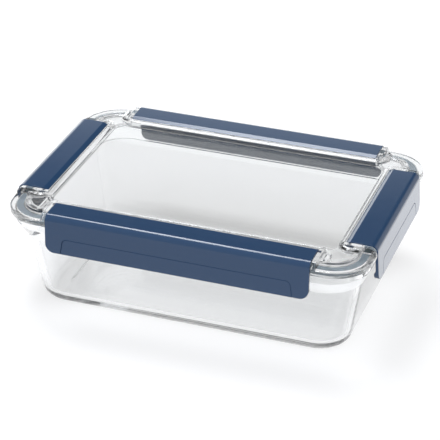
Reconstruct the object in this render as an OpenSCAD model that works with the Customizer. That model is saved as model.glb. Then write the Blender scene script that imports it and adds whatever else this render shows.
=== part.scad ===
// Rectangular glass food container with a clear snap-on lid.
// The glass dish stands on its foot. The lid sits on the dish's rim with a seal between
// them, and four latches hinge in pockets along the lid's edges and hook under the rim.
// X runs along the long side, -Y is the front, +Z is up, and the origin is the middle
// of the foot. All sizes are in millimetres.

/* [Lid outline] */
// Length of the lid over its flange
lid_l = 262; // [200:1:330]
// Width of the lid over its flange
lid_w = 182; // [150:1:240]
// Corner radius of the flange
lid_corner_r = 28; // [22:0.5:34]

/* [Glass dish] */
// Height of the dish from its foot to the top of its rim
dish_h = 70.2; // [58:0.1:110]
// How far the dish's rim lies inside the lid's flange
rim_inset = 2.4; // [2:0.1:4]
// Height of the rim's upright outer face
rim_face_h = 4; // [3:0.1:6]
// Height of the sloping underside of the rim
rim_slope_h = 11; // [8:0.1:14]
// How far the underside of the rim slopes in
rim_slope_in = 5.3; // [4:0.1:7]
// Small step where the rim meets the wall
rim_step = 0.9; // [0.5:0.1:1.5]
// Width of the flat sealing face on top of the rim
rim_flat_w = 8; // [7:0.1:10]
// How far the wall leans in from the rim to the foot's bend
wall_lean = 7.4; // [4:0.1:12]
// Radius of the bend between wall and foot
foot_bend_r = 9; // [5:0.5:12]
// Wall thickness of the dish
wall_t = 4.2; // [3.5:0.1:6]
// Floor thickness of the dish
floor_t = 5; // [4:0.1:8]
// Corner radius of the dish at its rim
dish_corner_r = 26; // [22:0.5:32]
// Corner radius of the dish at its foot
foot_corner_r = 23; // [18:0.5:28]
// Depth of the shallow recess inside the foot
foot_recess = 0.8; // [0.4:0.1:1.5]
// Width of the foot that the dish stands on
foot_w = 9; // [6:0.5:14]

/* [Lid levels] */
// Gap between the rim and the underside of the lid's flange
seat_gap = 0.4; // [0.3:0.1:0.8]
// Height of the flange
flange_h = 4.7; // [4.2:0.1:6]
// Width of the flange's top, from its edge to the raised deck
flange_w = 10.5; // [9.5:0.1:12]
// Height of the deck above the flange
deck_rise = 1.5; // [1:0.1:2.5]
// Depth of the middle panel below the deck
panel_drop = 1; // [0.5:0.1:1.3]
// Thickness of the middle panel
panel_t = 2; // [1.6:0.1:2.6]
// Corner radius of the middle panel
panel_corner_r = 13; // [8:0.5:18]

/* [Seal] */
// Width of the seal's groove
groove_w = 5.6; // [5:0.1:6]
// Depth of the seal's groove
groove_d = 3.1; // [2.8:0.1:3.3]
// Thickness of the lid's skirt outside the groove, where a latch crosses it
skirt_t = 1.9; // [1.5:0.1:2.2]
// Clearance round the seal in its groove
seal_gap = 0.25; // [0.15:0.05:0.4]
// Width of the seal's lower lip
seal_lip_w = 2.4; // [1.8:0.1:3]
// Clearance between the seal's lip and the rim
lip_gap = 0.1; // [0.05:0.05:0.2]

/* [Latches] */
// Distance from each end of a lid side to the latch on it
corner_span = 36.2; // [34:0.1:42]
// Distance from the flange's edge in to the hinge line
hinge_in = 19.5; // [18.5:0.1:21]
// Height of the latch's top above the deck
latch_rise = 3.6; // [3.4:0.1:4.4]
// Radius of the hinge barrel along the latch's inner edge
barrel_r = 3; // [2.6:0.1:3.2]
// Wall thickness of the latch's plate and flap
latch_t = 2.1; // [1.7:0.1:2.1]
// Outer radius of the bend between plate and flap
bend_r = 5; // [4:0.1:6]
// How far the flap's face stands out past the flange at the bend
flap_out = 0.3; // [0.2:0.1:0.6]
// Height of the whole latch
latch_h = 27.6; // [26:0.1:30]
// Outward flare of the flap in degrees
flap_flare = 3.6; // [3:0.1:4.5]
// Radius of the flap's lower corners
flap_corner_r = 6.5; // [4:0.1:9]
// Height of the hooked lip along the flap's lower edge
hook_h = 7.5; // [6:0.1:8]
// Clearance between the hook's tip and the rim as the lid lifts
hook_gap = 0.4; // [0.3:0.05:0.6]
// Depth of the finger panel in the flap
grip_d = 0.6; // [0.3:0.1:0.8]
// Height of the finger panel
grip_h = 10; // [7:0.5:12]
// Distance from the flap's ends to the finger panel
grip_end = 13; // [10:0.5:16]

/* [Hinges] */
// Radius of the pin at each end of a latch
pin_r = 1.4; // [1.1:0.05:1.5]
// Length of each pin
pin_l = 2; // [1.6:0.1:2.2]
// Radial clearance of a pin in its hole
pin_gap = 0.06; // [0.04:0.01:0.1]
// Clearance between a latch and the walls of its pocket
pocket_gap = 0.4; // [0.3:0.05:0.6]
// Width of the rail round a pocket
rail_w = 3.8; // [3:0.1:4.2]
// Thickness of the cheeks that hold the pins
cheek_t = 3.2; // [3:0.1:4]
// Distance from a latch's end to the outside of the rail that curls round it
curl_out = 9.6; // [9:0.1:11]
// Outer radius of the rail's curl
curl_r = 9; // [6:0.5:9]
// Depth of the pocket's floor below the flange's top
pocket_drop = 1.7; // [1.6:0.1:1.8]
// How far the rail and cheeks stop short of the latch's top
rail_drop = 0.5; // [0.3:0.1:0.8]

/* [Hidden] */
$fn = 64;
overlap = 0.5;
layer_h = 0.3;
rim_round = 1.1;
half_l = lid_l / 2;
half_w = lid_w / 2;
flange_bottom = dish_h + seat_gap;
flange_top = flange_bottom + flange_h;
deck_top = flange_top + deck_rise;
panel_top = deck_top - panel_drop;
latch_top = deck_top + latch_rise;
rail_top = latch_top - rail_drop;
pocket_floor = flange_top - pocket_drop;
hinge_z = latch_top - barrel_r;
latch_bottom = latch_top - latch_h;
latch_long = lid_l - 2 * corner_span;
latch_short = lid_w - 2 * corner_span;
// Distances measured outwards from the flange's edge, so those inside it are negative
rim_edge = -rim_inset;
rail_face = -hinge_in - barrel_r - pocket_gap;
skirt_edge = rim_edge;
groove_out = skirt_edge - skirt_t;
groove_in = groove_out - groove_w;
deck_edge = -flange_w;
shoulder_edge = rim_edge - rim_slope_in;
wall_top_edge = shoulder_edge - rim_step;
wall_foot_edge = wall_top_edge - wall_lean;
rim_slope_top = dish_h - rim_face_h - rim_round;
shoulder_z = rim_slope_top - rim_slope_h;
bend_out = flap_out - bend_r;
cheek_edge = -0.2;

// A flat rectangle with round corners, grown by d past the flange's outline
module outline(d, r) {
    x = half_l + d;
    y = half_w + d;
    square([2 * x, 2 * (y - r)], center = true);
    square([2 * (x - r), 2 * y], center = true);
    for (sx = [-1, 1], sy = [-1, 1])
        translate([sx * (x - r), sy * (y - r)])
            circle(r);
}

module slab(d, r, z0, z1) {
    translate([0, 0, z0])
        linear_extrude(z1 - z0)
            outline(d, r);
}

module ring(d_out, r_out, d_in, z0, z1) {
    difference() {
        slab(d_out, r_out, z0, z1);
        slab(d_in, r_out + d_in - d_out, z0 - overlap, z1 + overlap);
    }
}

// One layer of a lofted shape
module layer(d, r, z) {
    slab(d, r, z, z + layer_h);
}

// The bend at the bottom of a wall: four layers on a quarter circle. The corner radius
// shrinks with it, by a share of how far the layer lies inside the wall.
module bend_layers(edge, corner_r, bend_r, z0) {
    for (a = [0 : 30 : 90]) {
        inset = bend_r * (1 - sin(a));
        layer(edge - inset, corner_r - 0.6 * inset, z0 + bend_r * (1 - cos(a)));
    }
}

module dish_outside() {
    hull() {
        bend_layers(wall_foot_edge, foot_corner_r, foot_bend_r, 0);
        layer(wall_top_edge, dish_corner_r - rim_step, shoulder_z);
    }
    hull() {
        layer(shoulder_edge, dish_corner_r, shoulder_z);
        layer(rim_edge, dish_corner_r + 2.4, rim_slope_top);
        layer(rim_edge, dish_corner_r + 2.4, dish_h - rim_round);
        layer(rim_edge - rim_round, dish_corner_r + 1.3, dish_h - layer_h);
    }
}

module dish_inside() {
    mouth_edge = rim_edge - rim_round - rim_flat_w;
    hull() {
        bend_layers(wall_foot_edge - wall_t, foot_corner_r - wall_t, foot_bend_r - wall_t / 2, floor_t);
        layer(wall_top_edge - wall_t, dish_corner_r - wall_t, shoulder_z);
        layer(mouth_edge, dish_corner_r - wall_t, dish_h + overlap);
    }
}

module glass_base() {
    recess_edge = wall_foot_edge - foot_bend_r - foot_w;
    color([0.86, 0.9, 0.92, 0.35])
        difference() {
            dish_outside();
            dish_inside();
            slab(recess_edge, dish_corner_r - foot_w, -overlap, foot_recess);
        }
}

// Puts a shape made for the +X side on each side in turn. Angles 0 and 180 are the short
// sides, and 90 and 270 the long ones. The shape's x starts at the flange's edge.
module on_side(angle) {
    reach = angle % 180 == 0 ? half_l : half_w;
    rotate([0, 0, angle])
        translate([reach, 0, 0])
            children();
}

function latch_length(angle) = angle % 180 == 0 ? latch_short : latch_long;

// Plan of the pocket's rail: a rectangle whose two inner corners are round
module rail_plan(x0, half, r) {
    translate([x0 + r, -half])
        square([deck_edge - x0 - r, 2 * half]);
    translate([x0, r - half])
        square([2 * r, 2 * (half - r)]);
    for (s = [-1, 1])
        translate([x0 + r, s * (half - r)])
            circle(r);
}

module rail(length) {
    half = length / 2 + curl_out;
    translate([0, 0, pocket_floor - overlap])
        linear_extrude(rail_top - pocket_floor + overlap)
            difference() {
                rail_plan(rail_face - rail_w, half, curl_r);
                rail_plan(rail_face, half - rail_w, curl_r - rail_w);
                translate([deck_edge - rail_w / 2, -half + rail_w])
                    square([rail_w, 2 * (half - rail_w)]);
            }
}

// Side view of a cheek, as tall as the latch's plate and rounded like its bend
module cheek_side() {
    r = bend_r;
    x0 = rail_face - rail_w / 2;
    base_z = flange_bottom + flange_h / 2;
    translate([x0, pocket_floor - overlap])
        square([deck_edge - x0, rail_top - pocket_floor + overlap]);
    polygon(concat(
        [[deck_edge - overlap, base_z], [deck_edge - overlap, rail_top]],
        arc(cheek_edge - r, rail_top - r, r, 90, 0),
        [[cheek_edge, base_z]]
    ));
}

module cheeks(length) {
    for (s = [-1, 1])
        translate([0, s * (length / 2 + pocket_gap + cheek_t / 2), 0])
            rotate([90, 0, 0])
                translate([0, 0, -cheek_t / 2])
                    linear_extrude(cheek_t)
                        cheek_side();
}

// What a pocket takes out of the lid: the room for the barrel and the cut-back skirt
module pocket_cut(length) {
    half = length / 2 + pocket_gap;
    translate([rail_face, -half, pocket_floor])
        cube([deck_edge - rail_face, 2 * half, latch_top]);
    translate([deck_edge - overlap, -half, flange_top])
        cube([flange_w + 2 * overlap, 2 * half, latch_top]);
    translate([skirt_edge, -half, flange_bottom - overlap])
        cube([rim_inset + 2 * overlap, 2 * half, latch_top]);
}

module pin_holes(length) {
    reach = length / 2 + pin_l + pocket_gap;
    translate([-hinge_in, 0, hinge_z])
        rotate([90, 0, 0])
            cylinder(r = pin_r + pin_gap, h = 2 * reach, center = true);
}

module lid() {
    deck_r = lid_corner_r - flange_w;
    panel_edge = rail_face - rail_w + 1.6;
    color([0.92, 0.95, 0.97, 0.4])
        difference() {
            union() {
                difference() {
                    union() {
                        slab(0, lid_corner_r, flange_bottom, flange_top);
                        slab(deck_edge, deck_r, flange_bottom, deck_top);
                    }
                    slab(panel_edge, panel_corner_r, panel_top, latch_top);
                }
                for (angle = [0 : 90 : 270])
                    on_side(angle) {
                        rail(latch_length(angle));
                        cheeks(latch_length(angle));
                    }
            }
            for (angle = [0 : 90 : 270])
                on_side(angle) {
                    pocket_cut(latch_length(angle));
                    pin_holes(latch_length(angle));
                }
            slab(groove_in - panel_t, deck_r, flange_bottom - overlap, pocket_floor - panel_t);
            slab(panel_edge - rail_w - 1.2, panel_corner_r, pocket_floor - panel_t - overlap, panel_top - panel_t);
            ring(groove_out, lid_corner_r + groove_out, groove_in, flange_bottom - overlap, flange_bottom + groove_d);
        }
}

module gasket() {
    lip_side = (groove_w - seal_lip_w) / 2;
    lip_top = flange_bottom + groove_d / 3;
    seal_top = flange_bottom + groove_d - seal_gap;
    color([0.85, 0.89, 0.93, 0.7]) {
        ring(groove_out - seal_gap, lid_corner_r + groove_out - seal_gap, groove_in + seal_gap, lip_top, seal_top);
        ring(groove_out - lip_side, lid_corner_r + groove_out - lip_side, groove_in + lip_side,
            dish_h + lip_gap, lip_top + overlap);
    }
}

// Points on an arc about (x, z), from angle a0 to a1
function arc(x, z, r, a0, a1) =
    let (steps = 9)
    [for (i = [0 : steps]) let (a = a0 + (a1 - a0) * i / steps) [x + r * cos(a), z + r * sin(a)]];

// Side view of a latch: the barrel, the top plate, the bend, the flared flap and its hook
module latch_side() {
    bend_z = latch_top - bend_r;
    flap_l = bend_z - latch_bottom;
    lean = tan(flap_flare);
    inner_r = bend_r - latch_t;
    foot_shift = lean * (flap_l - bend_r * sin(flap_flare));
    translate([-hinge_in, hinge_z])
        circle(barrel_r);
    polygon(concat(
        [[-hinge_in, latch_top - latch_t], [-hinge_in, latch_top]],
        arc(bend_out, bend_z, bend_r, 90, -flap_flare),
        [[bend_out + bend_r * cos(flap_flare) + foot_shift, latch_bottom]],
        [[bend_out + inner_r * cos(flap_flare) + foot_shift, latch_bottom]],
        arc(bend_out, bend_z, inner_r, -flap_flare, 90)
    ));
    hook_side(flap_l);
}

// The hook reaches in from the flap to just outside the rim, with a sloping top
module hook_side(flap_l) {
    lean = tan(flap_flare);
    tip = rim_edge + hook_gap;
    face = bend_out + bend_r - latch_t / 2;
    polygon([
        [tip, latch_bottom + 1.2],
        [tip + 1.2, latch_bottom],
        [face + lean * flap_l, latch_bottom],
        [face + lean * (flap_l - hook_h), latch_bottom + hook_h],
        [tip + 0.5, latch_bottom + hook_h - 0.8],
        [tip, latch_bottom + hook_h - 1.6]
    ]);
}

// Cutters for the flap's two lower corners, seen from the side of the lid
module corner_cuts(length) {
    r = flap_corner_r;
    for (s = [-1, 1])
        translate([bend_out, s * length / 2, latch_bottom])
            difference() {
                translate([0, -r, -overlap])
                    cube([2 * bend_r + overlap, 2 * r, r + overlap]);
                translate([-overlap, -s * r, r])
                    rotate([0, 90, 0])
                        cylinder(r = r, h = 2 * bend_r + 2 * overlap);
            }
}

// The finger panel is sunk into the flap's face and is a little wider at the bottom
module grip_cut(length) {
    half = length / 2 - grip_end;
    lean = tan(flap_flare);
    face_top = flap_out + lean * (latch_top - bend_r - latch_bottom - grip_h);
    translate([face_top - grip_d, 0, latch_bottom + grip_h])
        rotate([0, -flap_flare, 0])
            translate([0, 0, -grip_h - 2 * overlap])
                rotate([90, 0, 90])
                    linear_extrude(bend_r)
                        polygon([
                            [-half - 2, 0],
                            [half + 2, 0],
                            [half, grip_h + 2 * overlap],
                            [-half, grip_h + 2 * overlap]
                        ]);
}

module latch(length) {
    color([0.17, 0.25, 0.37]) {
        difference() {
            translate([0, length / 2, 0])
                rotate([90, 0, 0])
                    linear_extrude(length)
                        latch_side();
            corner_cuts(length);
            grip_cut(length);
        }
        translate([-hinge_in, 0, hinge_z])
            rotate([90, 0, 0])
                cylinder(r = pin_r, h = length + 2 * pin_l, center = true);
    }
}

module latch_right() {
    on_side(0) latch(latch_length(0));
}

module latch_back() {
    on_side(90) latch(latch_length(90));
}

module latch_left() {
    on_side(180) latch(latch_length(180));
}

module latch_front() {
    on_side(270) latch(latch_length(270));
}

glass_base();
lid();
gasket();
latch_front();
latch_back();
latch_left();
latch_right();
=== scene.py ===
"""Visual model of a rectangular glass food container with a clear lid and four latches.

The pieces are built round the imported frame: a pressed glass dish, a clear moulded lid with its
rails and hinge cheeks, a silicone seal in the lid's groove, and a hinged navy latch on each side.
Lengths are in metres. An outline's place is given by how far it lies outside the edge of the
lid's flange, so a negative distance is inside that edge.
"""

import logging
import math
from collections.abc import Callable
from dataclasses import dataclass, field
from enum import Enum
from typing import ClassVar

import bmesh
import bpy
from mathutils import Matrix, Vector


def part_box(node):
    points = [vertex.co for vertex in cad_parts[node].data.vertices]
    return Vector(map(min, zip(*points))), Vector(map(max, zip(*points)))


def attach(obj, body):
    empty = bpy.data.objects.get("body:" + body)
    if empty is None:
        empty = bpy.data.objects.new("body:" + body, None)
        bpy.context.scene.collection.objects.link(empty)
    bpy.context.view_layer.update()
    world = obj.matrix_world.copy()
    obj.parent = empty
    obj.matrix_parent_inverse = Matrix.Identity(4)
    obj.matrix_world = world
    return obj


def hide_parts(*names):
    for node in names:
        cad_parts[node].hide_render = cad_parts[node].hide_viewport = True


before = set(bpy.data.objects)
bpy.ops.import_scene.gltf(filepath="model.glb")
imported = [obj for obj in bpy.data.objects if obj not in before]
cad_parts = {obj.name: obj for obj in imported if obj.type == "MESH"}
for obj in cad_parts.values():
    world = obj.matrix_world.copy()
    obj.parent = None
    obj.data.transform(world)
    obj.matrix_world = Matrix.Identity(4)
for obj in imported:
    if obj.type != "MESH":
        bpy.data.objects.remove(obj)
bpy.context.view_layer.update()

logging.basicConfig(level=logging.INFO, format="%(name)s: %(message)s")
log = logging.getLogger("container")

Colour = tuple[float, float, float, float]
Point = tuple[float, float, float]
Socket = bpy.types.NodeSocket

# A hinge lies HINGE_IN inside the flange's edge, at the height HINGE_Z.
PIN_LENGTH = 0.002
HINGE_IN = 0.0195
HINGE_Z = 0.0774

# How close a point or an edge has to lie to a place or a direction to be picked there.
NEAR = 1e-5
LEVEL = 1e-6

LID_LOW, LID_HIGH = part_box("lid")
LATCH_LOW, LATCH_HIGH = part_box("latch_front")
SIDE_LATCH_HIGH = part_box("latch_right")[1]
DISH_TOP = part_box("glass_base")[1].z
HALF_LENGTH = LID_HIGH.x
HALF_WIDTH = LID_HIGH.y


class Side(Enum):
    """The four sides of the lid, each with its turn in degrees from the right-hand side."""

    RIGHT = 0
    BACK = 90
    LEFT = 180
    FRONT = 270

    @property
    def is_long(self) -> bool:
        """True for the two long sides."""
        return self in (Side.BACK, Side.FRONT)

    @property
    def reach(self) -> float:
        """Distance from the middle of the lid to the flange's edge on this side."""
        return HALF_WIDTH if self.is_long else HALF_LENGTH

    @property
    def latch_length(self) -> float:
        """Length of this side's latch, without its pins."""
        return 2 * ((LATCH_HIGH.x if self.is_long else SIDE_LATCH_HIGH.y) - PIN_LENGTH)


# ---------------------------------------------------------------------------------------------
# Modelling moves
# ---------------------------------------------------------------------------------------------


@dataclass(frozen=True)
class Ring:
    """A level rectangular outline with round corners."""

    out: float
    radius: float
    z: float


class RingPath:
    """The levels of a lofted shape, from its first cap to its last."""

    def __init__(self, out: float, radius: float, z: float) -> None:
        """Starts the path at one outline."""
        self.rings: list[Ring] = [Ring(out, radius, z)]

    def to(self, out: float, radius: float, z: float) -> "RingPath":
        """Adds one outline, joined straight to the last."""
        self.rings.append(Ring(out, radius, z))
        return self

    def round_to(
        self, corner: tuple[float, float], out: float, radius: float, z: float, steps: int = 5
    ) -> "RingPath":
        """Adds a smooth bend that turns inside a sharp corner.

        Args:
            corner: Where the two straight stretches would meet, as (out, z).
            out: Distance outside the flange's edge at the end of the bend.
            radius: Corner radius of the outline there.
            z: Height there.
            steps: Outlines in the bend.

        Returns:
            The path itself.
        """
        first = self.rings[-1]
        for step in range(1, steps + 1):
            t = step / steps
            a, b, c = (1 - t) ** 2, 2 * t * (1 - t), t**2
            self.rings.append(
                Ring(
                    a * first.out + b * corner[0] + c * out,
                    first.radius + (radius - first.radius) * t,
                    a * first.z + b * corner[1] + c * z,
                )
            )
        return self


class Workbench:
    """Modelling moves that every sub-assembly uses."""

    CORNER_STEPS = 14
    MERGE = 1e-6

    @staticmethod
    def choose(piece: bpy.types.Object) -> None:
        """Makes a piece the only selected one, and the active one.

        Args:
            piece: The object.
        """
        bpy.ops.object.select_all(action="DESELECT")
        piece.select_set(True)
        bpy.context.view_layer.objects.active = piece

    @classmethod
    def edit(cls, piece: bpy.types.Object) -> None:
        """Makes a piece the only selected one and opens its mesh."""
        cls.choose(piece)
        bpy.ops.object.mode_set(mode="EDIT")

    @staticmethod
    def close() -> None:
        """Closes the mesh that is open."""
        bpy.ops.object.mode_set(mode="OBJECT")

    @classmethod
    def blank(cls, name: str) -> bpy.types.Object:
        """Adds a piece with nothing in it and opens its mesh.

        Args:
            name: Name of the piece.

        Returns:
            The new object, at the origin.
        """
        bpy.ops.object.select_all(action="DESELECT")
        bpy.ops.mesh.primitive_plane_add(size=1)
        piece = bpy.context.object
        piece.name = piece.data.name = name
        cls.edit(piece)
        bpy.ops.mesh.delete(type="VERT")
        bpy.ops.mesh.select_mode(type="VERT")
        return piece

    @classmethod
    def add_outline(cls, ring: Ring) -> None:
        """Adds a rectangle with round corners to the open mesh, and leaves it selected.

        Args:
            ring: The outline.
        """
        place = (0, 0, ring.z)
        half = (HALF_LENGTH + ring.out, HALF_WIDTH + ring.out, 1)
        bpy.ops.mesh.primitive_plane_add(size=2, location=place)
        bpy.ops.transform.resize(value=half, center_override=place)
        bpy.ops.mesh.bevel(affect="VERTICES", offset=ring.radius, segments=cls.CORNER_STEPS)

    @classmethod
    def loft(cls, name: str, rings: list[Ring], is_loop: bool = False) -> bpy.types.Object:
        """Extrudes one outline through all the others into a closed shell.

        Args:
            name: Name of the piece.
            rings: The outlines in order.
            is_loop: True if the last outline joins the first; False if both ends are capped.

        Returns:
            The finished object.
        """
        piece = cls.blank(name)
        cls.add_outline(rings[0])
        following = rings[1:]
        if is_loop:
            bpy.ops.mesh.delete(type="ONLY_FACE")
            bpy.ops.mesh.select_all(action="SELECT")
            following.append(rings[0])
        last = rings[0]
        for ring in following:
            cls.grow(piece, last, ring)
            last = ring
        cls.mend()
        cls.close()
        return piece

    @staticmethod
    def grow(piece: bpy.types.Object, last: Ring, ring: Ring) -> None:
        """Extrudes the selected outline to the next one, and moves its four corners there.

        Args:
            piece: The object whose mesh is open.
            last: The outline that is selected.
            ring: The outline that it becomes.
        """
        bpy.ops.mesh.extrude_region_move(TRANSFORM_OT_translate={"value": (0, 0, ring.z - last.z)})
        mesh = bmesh.from_edit_mesh(piece.data)
        outline = [point for point in mesh.verts if point.select]
        turn = ring.radius / last.radius
        shift = (ring.out - ring.radius) - (last.out - last.radius)
        for sx, sy in ((1, 1), (-1, 1), (-1, -1), (1, -1)):
            for point in outline:
                point.select_set(point.co.x * sx > 0 and point.co.y * sy > 0)
            mesh.select_flush_mode()
            middle = (
                sx * (HALF_LENGTH + last.out - last.radius),
                sy * (HALF_WIDTH + last.out - last.radius),
                ring.z,
            )
            bpy.ops.transform.resize(value=(turn, turn, 1), center_override=middle)
            bpy.ops.transform.translate(value=(sx * shift, sy * shift, 0))
        mesh = bmesh.from_edit_mesh(piece.data)
        for point in outline:
            point.select_set(True)
        mesh.select_flush(True)

    @classmethod
    def mend(cls) -> None:
        """Merges doubles in the open mesh and turns its faces outwards."""
        bpy.ops.mesh.select_all(action="SELECT")
        bpy.ops.mesh.remove_doubles(threshold=cls.MERGE)
        bpy.ops.mesh.normals_make_consistent(inside=False)

    @classmethod
    def block(cls, name: str, low: Vector, high: Vector) -> bpy.types.Object:
        """Adds a box between two corners and opens its mesh.

        Args:
            name: Name of the piece.
            low: Lowest corner.
            high: Highest corner.

        Returns:
            The new object, with its box selected.
        """
        piece = cls.blank(name)
        cls.add_block(low, high)
        return piece

    @staticmethod
    def add_block(low: Vector, high: Vector) -> None:
        """Adds a box between two corners to the open mesh, and leaves it selected.

        Args:
            low: Lowest corner.
            high: Highest corner.
        """
        middle = (low + high) / 2
        bpy.ops.mesh.primitive_cube_add(size=1, location=middle)
        bpy.ops.transform.resize(value=high - low, center_override=middle)

    @staticmethod
    def pick_edges(piece: bpy.types.Object, wanted: Callable[[Vector, Vector], bool]) -> None:
        """Selects the edges of the open mesh that a test picks.

        Args:
            piece: The object whose mesh is open.
            wanted: A test of an edge's two ends, given as vectors.
        """
        bpy.ops.mesh.select_mode(type="EDGE")
        bpy.ops.mesh.select_all(action="DESELECT")
        bpy.ops.object.mode_set(mode="OBJECT")
        points = piece.data.vertices
        for edge in piece.data.edges:
            edge.select = bool(wanted(points[edge.vertices[0]].co, points[edge.vertices[1]].co))
        bpy.ops.object.mode_set(mode="EDIT")

    @staticmethod
    def round_off(width: float, segments: int) -> None:
        """Rounds the selected edges of the open mesh."""
        bpy.ops.mesh.bevel(offset=width, segments=segments, profile=0.5, clamp_overlap=True)

    @classmethod
    def rod(cls, name: str, radius: float, length: float) -> bpy.types.Object:
        """Makes a rod along Y at the place of the right-hand hinge.

        Args:
            name: Name of the rod.
            radius: Its radius.
            length: Its length.

        Returns:
            The rod.
        """
        rod = cls.blank(name)
        bpy.ops.mesh.primitive_cylinder_add(
            vertices=32,
            radius=radius,
            depth=length,
            location=(HALF_LENGTH - HINGE_IN, 0, HINGE_Z),
            rotation=(math.pi / 2, 0, 0),
        )
        cls.mend()
        cls.close()
        return rod

    @classmethod
    def apply(cls, piece: bpy.types.Object, kind: str, **settings: object) -> None:
        """Adds a modifier to a piece and applies it.

        Args:
            piece: The object.
            kind: The modifier's type.
            **settings: Values for the modifier.
        """
        cls.choose(piece)
        modifier = piece.modifiers.new(kind.lower(), kind)
        for key, value in settings.items():
            setattr(modifier, key, value)
        bpy.ops.object.modifier_apply(modifier=modifier.name)

    @classmethod
    def combine(cls, piece: bpy.types.Object, other: bpy.types.Object, how: str) -> None:
        """Joins, cuts or crops a piece with another closed shape, which is used up.

        Args:
            piece: The object that stays.
            other: The shape that works on it.
            how: UNION, DIFFERENCE or INTERSECT.
        """
        cls.apply(piece, "BOOLEAN", operation=how, solver="EXACT", object=other)
        bpy.data.objects.remove(other)

    @classmethod
    def turned_copy(
        cls, piece: bpy.types.Object, name: str, side: Side, shift: float = 0.0
    ) -> bpy.types.Object:
        """Copies a piece made on the right-hand side to another side.

        Args:
            piece: The object to copy.
            name: Name of the copy.
            side: The side that the copy goes to.
            shift: How far the copy moves outwards before it turns.

        Returns:
            The copy, which has a mesh of its own.
        """
        copy = piece.copy()
        copy.data = piece.data.copy()
        copy.name = copy.data.name = name
        bpy.context.scene.collection.objects.link(copy)
        cls.edit(copy)
        bpy.ops.mesh.select_all(action="SELECT")
        bpy.ops.transform.translate(value=(shift, 0, 0))
        cls.close()
        cls.choose(copy)
        copy.rotation_euler.z = math.radians(side.value)
        bpy.ops.object.transform_apply(location=True, rotation=True, scale=True)
        return copy

    @classmethod
    def smooth(cls, piece: bpy.types.Object, angle: float = 32.0) -> None:
        """Shades a piece smooth up to an angle, with its flat faces kept flat.

        Args:
            piece: The object.
            angle: Angle in degrees past which an edge stays crisp.
        """
        cls.choose(piece)
        bpy.ops.object.shade_smooth_by_angle(angle=math.radians(angle))
        cls.apply(piece, "WEIGHTED_NORMAL", weight=60, keep_sharp=True)


class ProfilePen:
    """Draws a closed side view in the XZ plane, then pushes it out along Y."""

    def __init__(self, name: str, x: float, z: float) -> None:
        """Starts a piece with one point.

        Args:
            name: Name of the piece.
            x: First point's distance from the origin.
            z: First point's height.
        """
        self.piece = Workbench.blank(name)
        bpy.ops.mesh.primitive_plane_add(size=0.001, location=(x, 0, z))
        bpy.ops.mesh.merge(type="CENTER")
        self.x = x
        self.z = z

    def line(self, x: float, z: float) -> "ProfilePen":
        """Draws a straight stretch to a point.

        Args:
            x: The point's distance from the origin.
            z: The point's height.

        Returns:
            The pen itself.
        """
        step = (x - self.x, 0, z - self.z)
        bpy.ops.mesh.extrude_region_move(TRANSFORM_OT_translate={"value": step})
        self.x = x
        self.z = z
        return self

    def arc(self, x: float, z: float, angle: float, steps: int) -> "ProfilePen":
        """Draws an arc about a centre.

        Args:
            x: The centre's distance from the origin.
            z: The centre's height.
            angle: Angle in degrees, positive from X towards Z.
            steps: Stretches in the arc.

        Returns:
            The pen itself.
        """
        turn = math.radians(angle)
        bpy.ops.mesh.spin(steps=steps, angle=turn, center=(x, 0, z), axis=(0, 1, 0))
        dx, dz = self.x - x, self.z - z
        self.x = x + dx * math.cos(turn) - dz * math.sin(turn)
        self.z = z + dx * math.sin(turn) + dz * math.cos(turn)
        return self

    def push(self, length: float) -> bpy.types.Object:
        """Closes the outline, fills it and pushes it out to both sides of the XZ plane.

        Args:
            length: Length along Y.

        Returns:
            The finished object.
        """
        bpy.ops.mesh.select_all(action="SELECT")
        bpy.ops.mesh.remove_doubles(threshold=NEAR)
        bpy.ops.mesh.edge_face_add()
        bpy.ops.transform.translate(value=(0, -length / 2, 0))
        bpy.ops.mesh.extrude_region_move(TRANSFORM_OT_translate={"value": (0, length, 0)})
        Workbench.mend()
        Workbench.close()
        return self.piece


# ---------------------------------------------------------------------------------------------
# Shared surface effects
# ---------------------------------------------------------------------------------------------


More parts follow.
